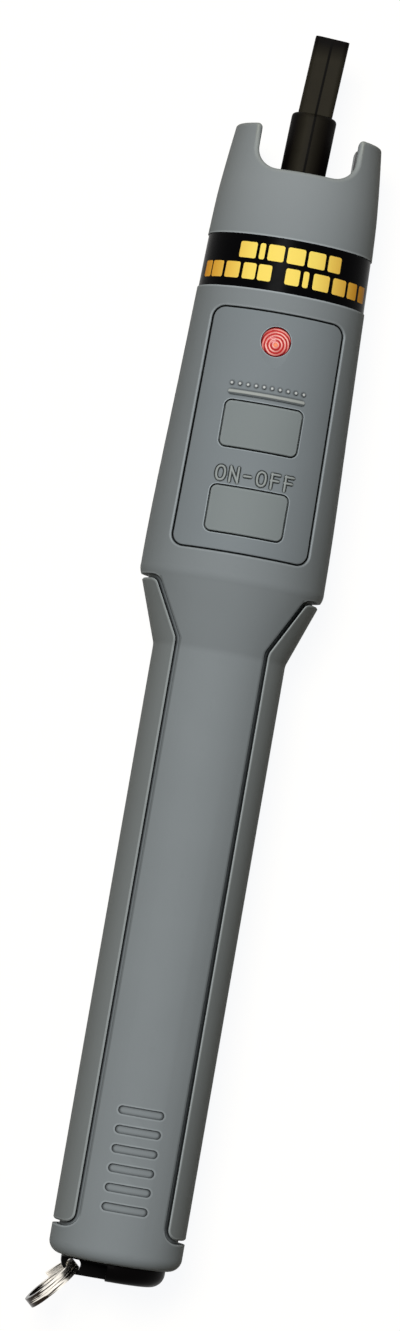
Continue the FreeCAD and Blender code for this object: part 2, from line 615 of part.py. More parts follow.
# ---- dust cap -----------------------------------------------------------------------------------
def dust_cap():
    foot = FLOOR_Y + COLLAR_T + CAP_CLEAR
    skirt = cylinder(CAP_R, CAP_SHOULDER_Y - foot, V(0, foot, 0))
    shoulder = edges_near(skirt, lambda e: e.BoundBox.YMin > CAP_SHOULDER_Y - 0.01)
    skirt = skirt.makeFillet(CAP_SHOULDER, shoulder)
    bore = BARREL_R + CAP_BORE_GAP
    skirt = skirt.cut(cylinder(bore, PORT_Y + CAP_CLEAR - foot, V(0, foot, 0)))
    reach = sqrt(CAP_R ** 2 - (SEAM_W / 2) ** 2)
    y_top = CAP_SHOULDER_Y - CAP_SHOULDER
    seam = block(-SEAM_W / 2, SEAM_W / 2, foot, y_top, bore + 0.3, reach + SEAM_RISE)
    skirt = skirt.fuse(seam).fuse(seam.mirror(V(), Z_AXIS))
    half_w, half_t = TAB_W / 2, TAB_T / 2
    tab = block(-half_w, half_w, CAP_SHOULDER_Y - 1, TAB_TOP_Y, -half_t, half_t)
    tab = tab.makeFillet(TAB_EDGE, edges_near(tab, lambda e: e.BoundBox.YLength > 1))
    tab_seam = block(-SEAM_W / 2, SEAM_W / 2, CAP_SHOULDER_Y - 1, TAB_TOP_Y - 0.5,
                     half_t - 0.3, half_t + SEAM_RISE)
    tab = tab.fuse(tab_seam).fuse(tab_seam.mirror(V(), Z_AXIS))
    tab = tab.rotated(V(0, CAP_SHOULDER_Y, 0), Z_AXIS, -TAB_LEAN)
    whole = skirt.fuse(tab)
    return whole.rotated(V(0, (foot + PORT_Y) / 2, 0), Z_AXIS, -CAP_LEAN).removeSplitter()


# ---- end cap, seal, spring and ring -------------------------------------------------------------
def end_cap():
    foot = -END_H
    button = cylinder(END_R, END_H - END_SEAT, V(0, foot, 0))
    button = button.makeFillet(END_ROUND, edges_near(button, lambda e: e.BoundBox.YMax < foot + 0.01))
    half = LUG_T / 2
    for side in (-1, 1):
        lo, hi = sorted((side * half, side * BIG))
        button = button.cut(block(-BIG, STEP_X, foot - 1, -END_SEAT - END_RIM_T, lo, hi))
    button = button.cut(cylinder(LUG_HOLE_R, 2 * BIG, V(LUG_HOLE_X, -LUG_HOLE_DEPTH, -BIG), Z_AXIS))
    spigot_r = BATTERY_R - SLIDE_GAP
    spigot = cylinder(spigot_r, SPIGOT_LENGTH + END_SEAT, V(0, -END_SEAT, 0))
    groove = SEAL_R + ASSEMBLY_GAP
    seat = cylinder(BIG, 2 * groove, V(0, SEAL_Y - groove, 0))
    seat = seat.cut(cylinder(spigot_r - 2 * groove, 2 * groove, V(0, SEAL_Y - groove, 0)))
    return button.fuse(spigot).cut(seat).removeSplitter()


def end_cap_seal():
    return Part.makeTorus(BATTERY_R - SLIDE_GAP - SEAL_R, SEAL_R, V(0, SEAL_Y, 0), Y_AXIS)


def cap_contact():
    return cylinder(BATTERY_R - 2 * SLIDE_GAP, CONTACT_T, V(0, SPIGOT_LENGTH, 0))


def coil(pitch, height, radius, section):
    """A wire of the given section wound along a helix about +Z, standing on the origin."""
    path = Part.makeHelix(pitch, height, radius)
    section = section.translated(V(radius, 0, 0))
    return Part.Wire(path.Edges).makePipeShell([section], True, True)


def battery_spring():
    height = SPRING_Y - SPIGOT_LENGTH - CONTACT_T - 2 * SPRING_WIRE_R
    around = [radians(angle) for angle in range(0, 405, 45)]
    section = Part.makePolygon([V(SPRING_WIRE_R * cos(a), 0, SPRING_WIRE_R * sin(a)) for a in around])
    spring = coil(height / SPRING_TURNS, height, SPRING_R, section)
    return spring.rotated(V(), X_AXIS, -90)


def split_ring():
    half_r, half_t = RING_BAND / 2, RING_WIRE_T / 2
    wire_r = RING_R - half_r
    section = Part.makePolygon([V(-half_r, 0, -half_t), V(half_r, 0, -half_t), V(half_r, 0, half_t),
                                V(-half_r, 0, half_t), V(-half_r, 0, -half_t)])
    return coil(RING_PITCH, 2 * RING_PITCH, wire_r, section)


def ring_in_place():
    """The ring hangs out of the lug's hole, its plane through the hole's own axis."""
    ring = split_ring().rotated(V(), Z_AXIS, RING_ENDS)
    turns_to_hole = (180 - RING_ENDS) / 360
    ring = ring.translated(V(0, 0, -RING_PITCH * (turns_to_hole + 0.5)))
    ring = ring.rotated(V(), X_AXIS, 90).rotated(V(), X_AXIS, RING_TILT)
    wire_r = RING_R - RING_BAND / 2
    ring = ring.translated(V(wire_r - RING_REST, 0, 0))
    return ring.rotated(V(), Z_AXIS, RING_ANGLE).translated(V(LUG_HOLE_X, -LUG_HOLE_DEPTH, 0))


os.makedirs("parts", exist_ok=True)
write("outer_sleeve", outer_sleeve())
write("grip_right", side_grip())
write("grip_left", mirrored_x(side_grip()))
write("label_band", label_band())
write("keypad_panel", keypad_panel())
write("mode_key", key(MODE_Y))
write("power_key", key(POWER_Y))
write("mode_switch", switch_body(MODE_Y))
write("power_switch", switch_body(POWER_Y))
write("mode_plunger", switch_plunger(MODE_Y))
write("power_plunger", switch_plunger(POWER_Y))
write("indicator_led", indicator_led())
case = shell()
write("inner_shell_front", case.common(block(-BIG, BIG, -BIG, TIP_Y + BIG, 0, BIG)))
write("inner_shell_rear", case.common(block(-BIG, BIG, -BIG, TIP_Y + BIG, -BIG, 0)))
write("shell_screws", shell_screws())
write("battery_rear", cell(SPRING_Y))
write("battery_front", cell(SPRING_Y + CELL_LENGTH))
write("front_contact", front_contact())
write("contact_strip", contact_strip())
write("circuit_board", circuit_board())
write("driver_chip", driver_chip())
write("laser_diode", laser_diode())
write("focus_lens", focus_lens())
write("laser_housing", laser_housing())
write("port_adapter", port_adapter())
write("ferrule_sleeve", ferrule_sleeve())
write("dust_cap", dust_cap())
write("end_cap", end_cap())
write("end_cap_seal", end_cap_seal())
write("cap_contact", cap_contact())
write("battery_spring", battery_spring().translated(V(0, SPIGOT_LENGTH + CONTACT_T + SPRING_WIRE_R, 0)))
write("split_ring", ring_in_place())
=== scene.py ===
import math

import bpy
import numpy as np
from mathutils import Matrix, Vector


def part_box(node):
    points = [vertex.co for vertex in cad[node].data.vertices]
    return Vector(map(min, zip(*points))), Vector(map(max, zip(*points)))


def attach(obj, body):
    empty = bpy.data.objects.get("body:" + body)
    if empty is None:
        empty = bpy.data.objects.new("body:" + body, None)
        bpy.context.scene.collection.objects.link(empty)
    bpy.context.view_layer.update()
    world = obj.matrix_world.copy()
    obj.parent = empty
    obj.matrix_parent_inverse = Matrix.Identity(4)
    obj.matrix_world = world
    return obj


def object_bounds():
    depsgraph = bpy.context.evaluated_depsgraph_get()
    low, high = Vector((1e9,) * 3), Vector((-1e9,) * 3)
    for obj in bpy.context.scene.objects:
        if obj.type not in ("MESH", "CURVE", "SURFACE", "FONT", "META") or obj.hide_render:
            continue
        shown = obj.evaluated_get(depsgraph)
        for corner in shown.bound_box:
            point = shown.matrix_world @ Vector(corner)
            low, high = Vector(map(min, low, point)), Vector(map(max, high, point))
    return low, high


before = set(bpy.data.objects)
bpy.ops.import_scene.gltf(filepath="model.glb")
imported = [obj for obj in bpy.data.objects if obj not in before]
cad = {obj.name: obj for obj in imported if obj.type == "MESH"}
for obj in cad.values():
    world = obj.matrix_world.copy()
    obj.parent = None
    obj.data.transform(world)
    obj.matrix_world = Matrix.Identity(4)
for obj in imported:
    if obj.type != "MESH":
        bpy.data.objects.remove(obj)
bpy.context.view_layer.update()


# ---- outer sleeve and side grips -----------------------------------------------------------------
# The sleeve is one moulding of soft grey elastomer, stretched over the hard shell. The two grips are
# the same stuff, glued into its pockets with a groove round each. Their edges are painted pale as highlights,
# their grooves and the sleeve's shoulders beside them are painted dark as shade, and the nose is painted
# paler.

class Value:
    """What a node's socket gives out. Arithmetic on it adds Math nodes beside that node."""

    def __init__(self, nodes, socket):
        self.nodes = nodes
        self.socket = socket

    def math(self, operation, *terms):
        return self.nodes.node("Math", {"operation": operation}, dict(enumerate(terms)))

    def __add__(self, other):
        return self.math("ADD", self, other)

    def __radd__(self, other):
        return self.math("ADD", other, self)

    def __sub__(self, other):
        return self.math("SUBTRACT", self, other)

    def __rsub__(self, other):
        return self.math("SUBTRACT", other, self)

    def __mul__(self, other):
        return self.math("MULTIPLY", self, other)

    def __rmul__(self, other):
        return self.math("MULTIPLY", other, self)

    def __truediv__(self, other):
        return self.math("DIVIDE", self, other)

    def __rtruediv__(self, other):
        return self.math("DIVIDE", other, self)

    def __pow__(self, other):
        return self.math("POWER", self, other)

    def __rpow__(self, other):
        return self.math("POWER", other, self)

    def __lt__(self, other):
        return self.math("LESS_THAN", self, other)

    def __gt__(self, other):
        return self.math("GREATER_THAN", self, other)

    def __abs__(self):
        return self.math("ABSOLUTE", self)


def larger(a, b):
    return a.math("MAXIMUM", a, b)


def smaller(a, b):
    return a.math("MINIMUM", a, b)


def rising(value, start, width):
    """0 up to start, then straight up to 1 over the width, and 1 from there on."""
    return smaller(larger((value - start) / width, 0.0), 1.0)


def line(distance, half_width):
    """1 where the distance is 0, fading straight to 0 at half_width either side."""
    return larger(1 - abs(distance) / half_width, 0.0)


class Nodes:
    """A tree of nodes that ends in one output."""

    def __init__(self, tree, output):
        self.tree = tree
        self.tree.nodes.clear()
        self.end = self.tree.nodes.new("ShaderNodeOutput" + output)

    def node(self, kind, settings, sockets, output=0):
        """Add a node: its settings first, then a value or a link for each socket that is named."""
        new = self.tree.nodes.new("ShaderNode" + kind)
        for name, setting in settings.items():
            setattr(new, name, setting)
        for name, value in sockets.items():
            if isinstance(value, Value):
                self.tree.links.new(value.socket, new.inputs[name])
            else:
                new.inputs[name].default_value = value
        return Value(self, new.outputs[output])

    def show(self, surface):
        self.tree.links.new(surface.socket, self.end.inputs["Surface"])


class Finish(Nodes):
    """One material: a Principled shader, and the nodes that vary it over the surface."""

    def __init__(self, name, constants):
        self.material = bpy.data.materials.new(name)
        self.material.use_nodes = True
        super().__init__(self.material.node_tree, "Material")
        self.principled = self.node("BsdfPrincipled", {}, constants)
        self.show(self.principled)
        self.place = self.node("TexCoord", {}, {}, "Object")

    def feed(self, socket, value):
        self.tree.links.new(value.socket, self.principled.socket.node.inputs[socket])

    def axes(self):
        """The place on the piece, in metres, as three numbers."""
        return [self.node("SeparateXYZ", {}, {"Vector": self.place}, axis) for axis in "XYZ"]

    def noise(self, size, detail=2.0):
        """Cloudy pattern from 0 to 1, with patches of about the given size in metres."""
        return self.node("TexNoise", {}, {"Vector": self.place, "Scale": 1 / size, "Detail": detail})

    def short_rays(self, distance, gain, inside):
        """The share of short rays that meet a face, times a gain, but no more than 1."""
        settings = {"samples": 8, "inside": inside, "only_local": inside}
        free = self.node("AmbientOcclusion", settings, {"Distance": distance}, "AO")
        return smaller(gain * (1 - free), 1.0)

    def edges(self, distance, gain):
        """1 at an edge, where a short ray into the piece comes out again."""
        return self.short_rays(distance, gain, True)

    def grooves(self, distance, gain):
        """1 in a groove, where a short ray out of the piece meets a wall."""
        return self.short_rays(distance, gain, False)

    def mix(self, share, first, second):
        """Colour that goes from first to second as share goes from 0 to 1."""
        return self.node("Mix", {"data_type": "RGBA"}, {0: share, 6: first, 7: second}, 2)

    def rough(self, height, depth, strength=1.0):
        """Bump the surface by height, from 0 to 1, times depth in metres."""
        bump = {"Height": height, "Distance": depth, "Strength": strength}
        self.feed("Normal", self.node("Bump", {}, bump))


def tint(red, green, blue):
    """A colour given as 0 to 255 on a screen, turned into linear light."""
    shares = [channel / 255 for channel in (red, green, blue)]
    return [s / 12.92 if s < 0.04045 else ((s + 0.055) / 1.055) ** 2.4 for s in shares] + [1.0]


def scaled(colour, share):
    """A colour with each channel at the given share of itself."""
    return [share * channel for channel in colour[:3]] + [1.0]


def dress(finish, *names):
    """Give CAD nodes a finish in place of the plain one that they came with."""
    for name in names:
        for slot in cad[name].material_slots:
            slot.material = finish.material


CLOUDS = 0.011               # size of the moulding's cloudy patches
GRAIN = 0.00035              # size of its matt grain
GRAIN_DEPTH = 0.00004
EDGE_HIGHLIGHT_GAIN = 1.65                # how much lighter an edge is painted, as a highlight
GROOVE_SHADE_SHARE = 0.12                 # how much of a colour is left in a groove's painted shade


def moulded_grey(name, colour, edge=0.0004, groove=0.0006):
    """Grey elastomer: cloudy by 4%, with a fine matt grain. Its edges are painted pale as highlights,
    and its grooves are painted dark as shade."""
    finish = Finish(name, {"IOR": 1.45, "Specular IOR Level": 0.03})
    finish.plain = finish.mix(finish.noise(CLOUDS, 3.0), scaled(colour, 0.96), scaled(colour, 1.04))
    # Painted shade in the grooves, where short rays out of the piece meet a wall.
    finish.dirty = finish.grooves(groove, 1.5)
    # Painted highlight along the edges, where short rays into the piece come out again.
    edge_highlit = finish.mix(finish.edges(edge, 4.5), finish.plain, scaled(colour, EDGE_HIGHLIGHT_GAIN))
    finish.colour = finish.mix(finish.dirty, edge_highlit, scaled(colour, GROOVE_SHADE_SHARE))
    finish.feed("Base Color", finish.colour)
    grain = finish.noise(GRAIN, 1.0)
    finish.feed("Roughness", 0.5 + 0.12 * grain)
    finish.rough(grain, GRAIN_DEPTH, 0.35)
    return finish


GREY = tint(131, 137, 139)
GROOVE_X = 0.00795           # from the middle to the groove round a grip, below the bend
BEND_BELOW_LIP = 0.0102
GROOVE_SPREAD = 0.527        # how far the groove moves out for each step up, above the bend
SHOULDER_IN = 0.0001         # the painted shade on the groove's shoulder is this much nearer to the middle
SHOULDER_HALF = 0.00024
SHOULDER_FROM = 0.001        # above a grip's foot, where its groove has turned straight
SHOULDER_FADE = 0.002
FRONT_HALF = 0.0062          # half the width of the front, where the painted edge highlights and shoulder shade are weaker
NOSE_Y = -0.026              # where the painted light that makes the nose paler starts
NOSE_FADE = 0.016
PRONGS_Y = -0.0125           # where the painted highlights on the prongs' rims start
PRONGS_FADE = 0.003
RIM_WIDTH = 0.0006
sleeve = moulded_grey("sleeve grey", GREY)
(_, grip_foot_y, _), (_, lip_y, _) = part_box("grip_left")
x, y, z = sleeve.axes()
past_groove = abs(x) - GROOVE_X - GROOVE_SPREAD * larger(y - lip_y + BEND_BELOW_LIP, 0.0)
beside_grip = (y < lip_y + 0.0005) * rising(y, grip_foot_y + SHOULDER_FROM, SHOULDER_FADE)
# Painted shade along the sleeve's rounded shoulder beside each grip's groove.
shoulder_shade = line(past_groove + SHOULDER_IN, SHOULDER_HALF) * beside_grip
# The plain colour with only the painted shade in its grooves.
groove_shaded_plain = sleeve.mix(sleeve.dirty, sleeve.plain, scaled(GREY, GROOVE_SHADE_SHARE))
shaded = sleeve.mix(smaller(2 * shoulder_shade, 1.0), sleeve.colour, sleeve.mix(0.3, groove_shaded_plain, tint(30, 32, 30)))
on_front = (abs(x) < FRONT_HALF) * (y < lip_y) * (z > 0.0)
# On the front the painted edge highlights and shoulder shade are cut back.
front_less_highlit = sleeve.mix(0.6 * on_front, shaded, groove_shaded_plain)
# Painted light: the sleeve is painted paler towards the nose.
nose_lit = sleeve.mix(sleeve.dirty, tint(150, 155, 156), groove_shaded_plain)
lit_towards_nose = sleeve.mix(0.5 * rising(y, NOSE_Y, NOSE_FADE), front_less_highlit, nose_lit)
# Painted highlight along the prongs' rims.
rim_highlights = sleeve.edges(RIM_WIDTH, 3.0) * rising(y, PRONGS_Y, PRONGS_FADE)
sleeve.feed("Base Color", sleeve.mix(rim_highlights, lit_towards_nose, tint(164, 168, 158)))
dress(sleeve, "outer_sleeve")
dress(moulded_grey("grip grey", tint(126, 131, 131)), "grip_left", "grip_right")


# ---- key panel, its lettering and the two keys ---------------------------------------------------
# The panel is a separate moulding of the same grey, let into the head, with a raised bar, a row of dots
# and the word pair that says what the lower key does. The keys come up through it from below.

panel_grey = moulded_grey("panel grey", tint(128, 135, 138), 0.0002, 0.0004)
dress(panel_grey, "keypad_panel")
dress(moulded_grey("key grey", tint(131, 138, 138), 0.0003, 0.0003), "mode_key", "power_key")

BAR_ABOVE_KEY = 0.0059       # from the middle of the upper key
DOTS_ABOVE_BAR = 0.0016
DOT_PITCH = 0.0015
BAR_HALF = 0.0006
DOT_RADIUS = 0.0005
MARKS_HALF = 0.0018          # from the middle of the marks to where the search for them stops
FOOT_LIFT = 0.00004          # height over the skin where the painted shade at a mark's foot starts
TOP_LIFT = 0.0002            # and where the painted highlight on its top starts
BELOW_BAR = 0.0009           # the skin is measured this far below the bar
ABOVE_DOTS = 0.0012          # and this far above the dots


def radius_of(name, *stations):
    """Height of a CAD node's front line over the axis at each station, found by dropping a plumb line."""
    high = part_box(name)[1].z + 0.01
    drops = [cad[name].ray_cast(Vector((0.0, y, high)), Vector((0, 0, -1))) for y in stations]
    return [where.z for _, where, _, _ in drops]


mode_low, mode_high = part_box("mode_key")
bar_y = (mode_low.y + mode_high.y) / 2 + BAR_ABOVE_KEY
below_bar, above_dots = bar_y - BELOW_BAR, bar_y + DOTS_ABOVE_BAR + ABOVE_DOTS
skin_below, skin_above = radius_of("keypad_panel", below_bar, above_dots)
taper = (skin_above - skin_below) / (above_dots - below_bar)
x, y, z = panel_grey.axes()
lift = (x ** 2 + z ** 2) ** 0.5 - (skin_below + taper * (y - below_bar))
near_marks = abs(y - (below_bar + above_dots) / 2) < MARKS_HALF
# Painted shade round the foot of the bar and dots, and painted highlights on their crowns, paler on the dots.
mark_foot_shade = rising(lift, FOOT_LIFT, 0.00004) * near_marks
raised = rising(lift, TOP_LIFT, 0.0001) * near_marks
half_pitch = DOT_PITCH / 2
across = half_pitch - panel_grey.node("Math", {"operation": "PINGPONG"}, {0: x, 1: half_pitch})
off_dot = (across ** 2 + (y - bar_y - DOTS_ABOVE_BAR) ** 2) ** 0.5
crown = larger(line(y - bar_y - 0.0001, BAR_HALF), line(off_dot, DOT_RADIUS))
crown_highlight = raised * rising(crown, 0.4, 1 / 3)
shaded_under_marks = panel_grey.mix(0.75 * mark_foot_shade, panel_grey.colour, tint(58, 62, 61))
mark_highlight_colour = panel_grey.mix(y > bar_y + DOTS_ABOVE_BAR / 2, tint(166, 170, 166), tint(204, 207, 205))
panel_grey.feed("Base Color", panel_grey.mix(crown_highlight, shaded_under_marks, mark_highlight_colour))

LETTER_HEIGHT = 0.0030
BEAD_HALF = 0.00023          # half the width of a letter's stroke
BEAD_RISE = 0.00030
BEAD_SUNK = 0.0002
FOOT_HALF = 0.00042          # half the width of the low foot along it, painted in shade
FOOT_RISE = 0.000015
END_STEPS = 6                # rings that round each end of a stroke
WORDS_X = 0.00018
KEY_FACE = 0.0085            # length of a key's face
WORDS_OVER_KEY = 0.0023      # from the top of the lower key's face to the middle of the words
TALL = LETTER_HEIGHT / 2 - BEAD_HALF


def grid_faces(rows, columns):
    """Quads between neighbouring rows of a grid whose columns close on themselves. They face outwards
    where the columns run clockwise, seen from the next row."""
    row, column = np.meshgrid(np.arange(rows - 1), np.arange(columns), indexing="ij")
    near, beside = row * columns + column, row * columns + (column + 1) % columns
    return np.stack((near, near + columns, beside + columns, beside), -1).reshape(-1, 4)


def welded(points):
    """The points with no two in one place, to a nanometre, and which of them stands for each one given."""
    _, first, place = np.unique(points.round(9), axis=0, return_index=True, return_inverse=True)
    return points[first], place.reshape(-1)


def stroke(*corners):
    """A straight stroke between two corners, in metres from the letter's middle."""
    share = np.linspace(0, 1, 9)[:, None]
    start, end = np.array(corners)
    return start + share * (end - start), False


def oval(half_x, half_y):
    """A letter O: x = half_x cos a, y = half_y sin a, with both pushed out a little at the corners."""
    angle = np.linspace(0, 2 * math.pi, 49)
    swell = 1 + 0.05 * np.sin(2 * angle) ** 2
    return np.column_stack((half_x * np.cos(angle), half_y * np.sin(angle))) * swell[:, None], True


def bead(path, closed):
    """A half-round bead carried along a path, with a low foot either side and a flat underside. Its ends
    are rounded: sin a of the foot's half width past the path's end, it has cos a of its size."""
    size = np.ones(len(path))
    if closed:
        along = np.roll(path[:-1], -1, 0) - np.roll(path[:-1], 1, 0)
        along = np.vstack((along, along[:1]))
        along /= np.linalg.norm(along, axis=1)[:, None]
    else:
        direction = (path[-1] - path[0]) / np.linalg.norm(path[-1] - path[0])
        angle = np.linspace(0, math.pi / 2, END_STEPS + 1)[1:]
        past = FOOT_HALF * np.sin(angle)[:, None] * direction
        path = np.vstack((path[0] - past[::-1], path, path[-1] + past))
        size = np.concatenate((np.cos(angle)[::-1], size, np.cos(angle)))
        along = np.tile(direction, (len(path), 1))
    across = np.column_stack((along[:, 1], -along[:, 0]))
    angle = np.linspace(0, math.pi, 11)
    profile_x = np.concatenate(([FOOT_HALF], BEAD_HALF * np.cos(angle), [-FOOT_HALF, -FOOT_HALF, FOOT_HALF]))
    profile_z = np.concatenate(([0], FOOT_RISE + BEAD_RISE * np.sin(angle), [0, -BEAD_SUNK, -BEAD_SUNK]))
    flat = path[:, None, :] + (size[:, None] * profile_x)[:, :, None] * across[:, None, :]
    rise = np.where(profile_z > 0, size[:, None] * profile_z, profile_z)
    return np.concatenate((flat, rise[:, :, None]), 2)


def laid_on_head(points, stations, radii):
    """Bend flat work over the head: z = sqrt(radius squared - x squared), plus the height over it."""
    radius = np.interp(points[:, 1], stations, radii)
    skin = np.sqrt(radius ** 2 - points[:, 0] ** 2)
    return np.column_stack((points[:, 0], points[:, 1], skin + points[:, 2]))


def add_piece(name, points, faces, finish, body):
    """Put a finished mesh into the scene, riding on a body. A quad that ends on a pole names it twice, and
    keeps three corners."""
    mesh = bpy.data.meshes.new(name)
    mesh.from_pydata(points.tolist(), [], [list(dict.fromkeys(face)) for face in faces.tolist()])
    mesh.materials.append(finish.material)
    mesh.polygons.foreach_set("use_smooth", np.ones(len(mesh.polygons), dtype=bool))
    piece = bpy.data.objects.new(name, mesh)
    bpy.context.scene.collection.objects.link(piece)
    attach(piece, body)


letter_o = [oval(0.00079, TALL)]
letter_n = [stroke((-0.00072, -TALL), (-0.00072, TALL)), stroke((-0.00072, TALL), (0.00072, -TALL)),
            stroke((0.00072, -TALL), (0.00072, TALL))]
letter_f = [stroke((-0.0006, -TALL), (-0.0006, TALL)), stroke((-0.0006, TALL), (0.00072, TALL)),
            stroke((-0.0006, 0.0001), (0.00052, 0.0001))]
hyphen = [stroke((-0.0005, 0.0), (0.0005, 0.0))]
WORDS = [(-0.00614, letter_o), (-0.00363, letter_n), (-0.00114, hyphen), (0.00147, letter_o),
         (0.00398, letter_f), (0.00658, letter_f)]
power_low, power_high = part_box("power_key")
words_y = (power_low.y + power_high.y) / 2 + KEY_FACE / 2 + WORDS_OVER_KEY
stations = np.linspace(words_y - 0.002, words_y + 0.002, 5)
radii = radius_of("keypad_panel", *stations)
beads, bead_faces, count = [], [], 0
for middle_x, strokes in WORDS:
    for path, closed in strokes:
        rings = bead(path + [WORDS_X + middle_x, words_y], closed)
        points, place = welded(rings.reshape(-1, 3))
        beads.append(points)
        bead_faces.append(place[grid_faces(*rings.shape[:2])] + count)
        count += len(points)
beads = laid_on_head(np.vstack(beads), stations, radii)
lettering = Finish("lettering grey", {"IOR": 1.45, "Specular IOR Level": 0.03})
x, y, z = lettering.axes()
lift = z - (radii[len(radii) // 2] ** 2 - x ** 2) ** 0.5
crest = rising(lift, 0.00004, 0.00016)
grain = lettering.noise(0.0004, 1.0)
# Painted shade low on the letters and round their feet, painted highlight on their crests.
lettering.feed("Base Color", lettering.mix(crest, tint(60, 64, 63), tint(156, 162, 160)))
lettering.feed("Roughness", 0.5 + 0.1 * grain)
lettering.rough(grain, 0.00002, 0.3)
add_piece("on_off_words", beads, np.vstack(bead_faces), lettering, "housing")


# ---- indicator lamp ------------------------------------------------------------------------------
# A 5 mm lamp of red epoxy in the panel's dish. The turned rings of its reflector show through the lens,
# a little below its middle. Their crests are painted pale as highlights, brighter on two opposite sides, and
# the lens is painted darker round its rim as shade.

REFLECTOR_DOWN = 0.00062     # middle of the rings below the lamp's own
RINGS = (0.00061, 0.00124, 0.00186, 0.00245, 0.00304)
RING_HALF = 0.00018          # half the width of a ring
RIPPLE = 0.00016             # how far the rings wander
CORE_RADIUS = 0.0006         # of the bright die behind the middle of the rings
RIM_RADIUS = 0.0022          # where the lens turns down to the dish
RIM_FADE = 0.0005
MOTTLE = 0.0007              # size of the patches in the epoxy
led_low, led_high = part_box("indicator_led")
led_middle = (led_low + led_high) / 2
lamp = Finish("lamp red", {"IOR": 1.5, "Specular IOR Level": 0.15, "Coat Weight": 0.04,
                           "Coat Roughness": 0.1, "Emission Strength": 0.12})
x, y, _ = lamp.axes()
mottle = lamp.noise(MOTTLE, 2.0)
from_x, from_y = x - led_middle.x, y - led_middle.y
down_y = from_y + REFLECTOR_DOWN
reach = (from_x ** 2 + down_y ** 2) ** 0.5 + RIPPLE * mottle
crest = line(reach - RINGS[0], RING_HALF)
for ring_radius in RINGS[1:]:
    crest = larger(crest, line(reach - ring_radius, RING_HALF))
crest = smaller(1.6 * crest, 1.0)
# Painted highlights on the ring crests, brighter along one slanting line across the lamp.
highlight_side = (0.77 * from_x + 0.64 * down_y) / (reach + 0.0001)
ring_highlight = crest * (0.4 + 0.6 * smaller(highlight_side * highlight_side * 1.3, 1.0))
deep = lamp.mix(mottle, tint(146, 14, 20), tint(212, 52, 50))
core = lamp.mix(smaller(2.0 * line(reach, CORE_RADIUS), 1.0), deep, tint(250, 148, 104))
highlighted_rings = lamp.mix(ring_highlight, core, tint(255, 196, 184))
# Painted shade round the lens's rim.
shaded_rim = lamp.mix(ring_highlight, tint(96, 10, 14), tint(226, 104, 98))
shown = lamp.mix(rising((from_x ** 2 + from_y ** 2) ** 0.5, RIM_RADIUS, RIM_FADE), highlighted_rings, shaded_rim)
lamp.feed("Base Color", shown)
# A faint painted glow in the same colour, though the lamp is not switched on.
lamp.feed("Emission Color", shown)
lamp.feed("Roughness", 0.18 + 0.1 * crest)
lamp.rough(crest, 0.00003, 0.5)
dress(lamp, "indicator_led")


# ---- printed label band --------------------------------------------------------------------------
# A band of black film wrapped round the head, with two rows of plain bars printed on the front in yellow.
# Shade is painted into the yellow, deeper towards the sides.

BAR_CORNER = 0.0004
INK_MIDDLE = -0.001          # where the yellow is lightest, round the band from the front
SIDE_SHADE_FROM, SIDE_SHADE_FADE = 0.006, 0.012                  # how far from there the painted shade starts, and over what it grows
# Each row: its middle above the band's, half its height, and for each bar its middle round the band from
# the front and half its length.
ROWS = [
    (0.00205, 0.00152, [(-0.00845, 0.00180), (-0.00550, 0.00055), (-0.00280, 0.00155), (0.00105, 0.00170),
                        (0.00510, 0.00175), (0.00895, 0.00145)]),
    (-0.00187, 0.00152, [(-0.01865, 0.00135), (-0.01525, 0.00165), (-0.01120, 0.00170), (-0.00745, 0.00135),
                         (-0.00435, 0.00130), (0.00095, 0.00135), (0.00350, 0.00055), (0.00665, 0.00170),
                         (0.01080, 0.00165), (0.01460, 0.00150), (0.01855, 0.00160)]),
]


def in_bar(from_x, from_y, half_x, half_y):
    """1 inside a rectangle with round corners, 0 outside it: a point's distance from the box through the
    corners' centres is under the corner radius."""
    over_x = abs(from_x) - (half_x - BAR_CORNER)
    over_y = abs(from_y) - (half_y - BAR_CORNER)
    outside = (larger(over_x, 0.0) ** 2 + larger(over_y, 0.0) ** 2) ** 0.5
    return outside + smaller(larger(over_x, over_y), 0.0) < BAR_CORNER


label_low, label_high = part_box("label_band")
label_y = (label_low.y + label_high.y) / 2
film = Finish("label film", {"IOR": 1.5, "Specular IOR Level": 0.01})
x, y, z = film.axes()
arc = film.node("Math", {"operation": "ARCTAN2"}, {0: x, 1: z}) * label_high.z
printed = 0.0
for row_y, half_y, bars in ROWS:
    for bar_x, half_x in bars:
        printed = printed + in_bar(arc - bar_x, y - label_y - row_y, half_x, half_y)
# Painted shade: the yellow darkens towards the sides of the band.
side_shade = rising(abs(arc - INK_MIDDLE), SIDE_SHADE_FROM, SIDE_SHADE_FADE)
ink_and_shade = film.mix(side_shade, tint(255, 226, 108), tint(242, 168, 46))
film.feed("Base Color", film.mix(printed, tint(6, 6, 7), ink_and_shade))
film.feed("Roughness", 0.22 + 0.12 * film.noise(0.0012, 2.0))
film.rough(film.noise(0.004), 0.00004, 0.3)
dress(film, "label_band")


# ---- hard shell in two halves --------------------------------------------------------------------
# Two glossy black plastic mouldings that meet along the sides, with seats for the cells, the board and the
# port, held together by four screws. Only their liner shows, inside the prongs.

shell = Finish("shell black", {"Base Color": tint(12, 12, 13), "IOR": 1.5,
                                "Specular IOR Level": 0.25, "Coat Weight": 0.1})
shell.feed("Roughness", 0.16 + 0.14 * shell.noise(0.006, 2.0))
shell.rough(shell.noise(0.0015), 0.00003, 0.25)
dress(shell, "inner_shell_front", "inner_shell_rear")


# ---- screws and battery spring -------------------------------------------------------------------
# Four self-tapping screws hold the shell's halves together, and a coil spring on the end cap presses the
# cells forward. Both are bright steel with the fine lines of drawn wire.

DRAWN_LINES = 900.0          # lines in a metre across the way that the steel was worked


